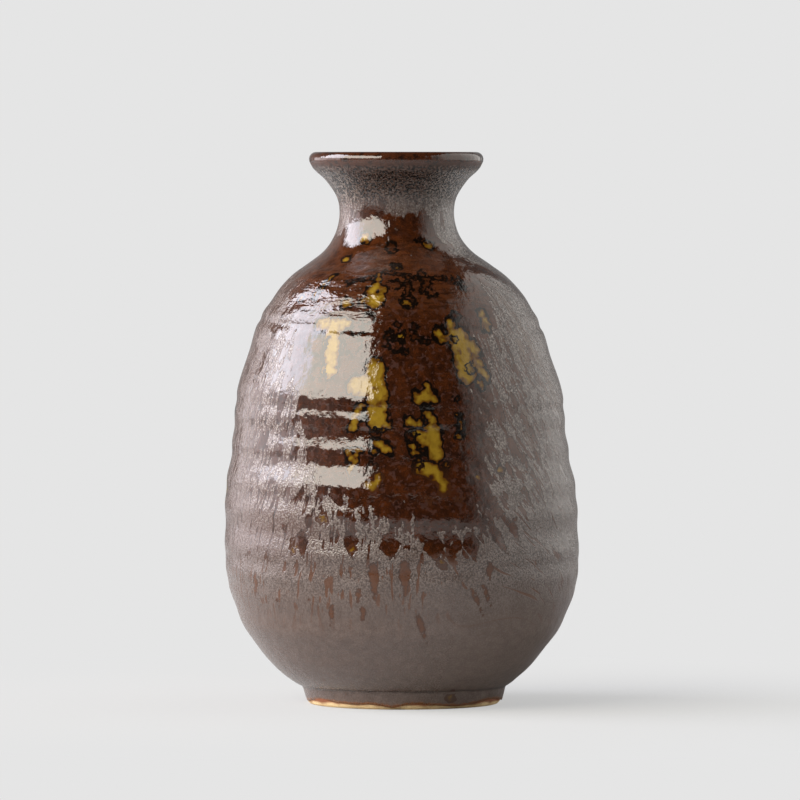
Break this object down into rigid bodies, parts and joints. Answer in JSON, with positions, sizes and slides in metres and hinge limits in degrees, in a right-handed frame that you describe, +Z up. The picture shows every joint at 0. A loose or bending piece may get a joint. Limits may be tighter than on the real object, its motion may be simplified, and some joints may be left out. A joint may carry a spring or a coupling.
{
  "type": "sake bottle",
  "caption": "Squat wheel-thrown stoneware sake bottle (tokkuri) with a narrow neck, flared lip and foot ring, under dark iron and amber run glazes.",
  "frame": {"origin": "on the floor plane under the middle of the bottle's box, which is the widest part of the belly", "axes": "+Z up, out of the mouth; -Y towards the front, where the run glaze reaches lowest; the thrown axis leans 0.8 degrees towards -X"},
  "size_m": [0.087, 0.087, 0.135],
  "materials": {
    "bare_stoneware": "bare buff clay with an orange-brown flash beside the glaze, dry and slightly sandy",
    "stoneware": "bare buff clay, hidden under the glazes",
    "matte_glaze": "satin to matte grey-brown iron glaze with faint throwing rings",
    "liner_glaze": "glossy dark brown glaze",
    "iron_glaze": "glossy reddish-brown iron glaze, broken by pores at its lower edge",
    "amber_glaze": "glossy dark brown run glaze with a grey sheen and amber pools outlined in black"
  },
  "bodies": {
    "root": {"foot_ring": "bare_stoneware", "thrown_body": "stoneware", "neck_collar": "stoneware", "base_glaze": "matte_glaze", "liner_glaze": "liner_glaze", "lip_iron_band": "iron_glaze", "amber_run_glaze": "amber_glaze"}
  },
  "joints": []
}
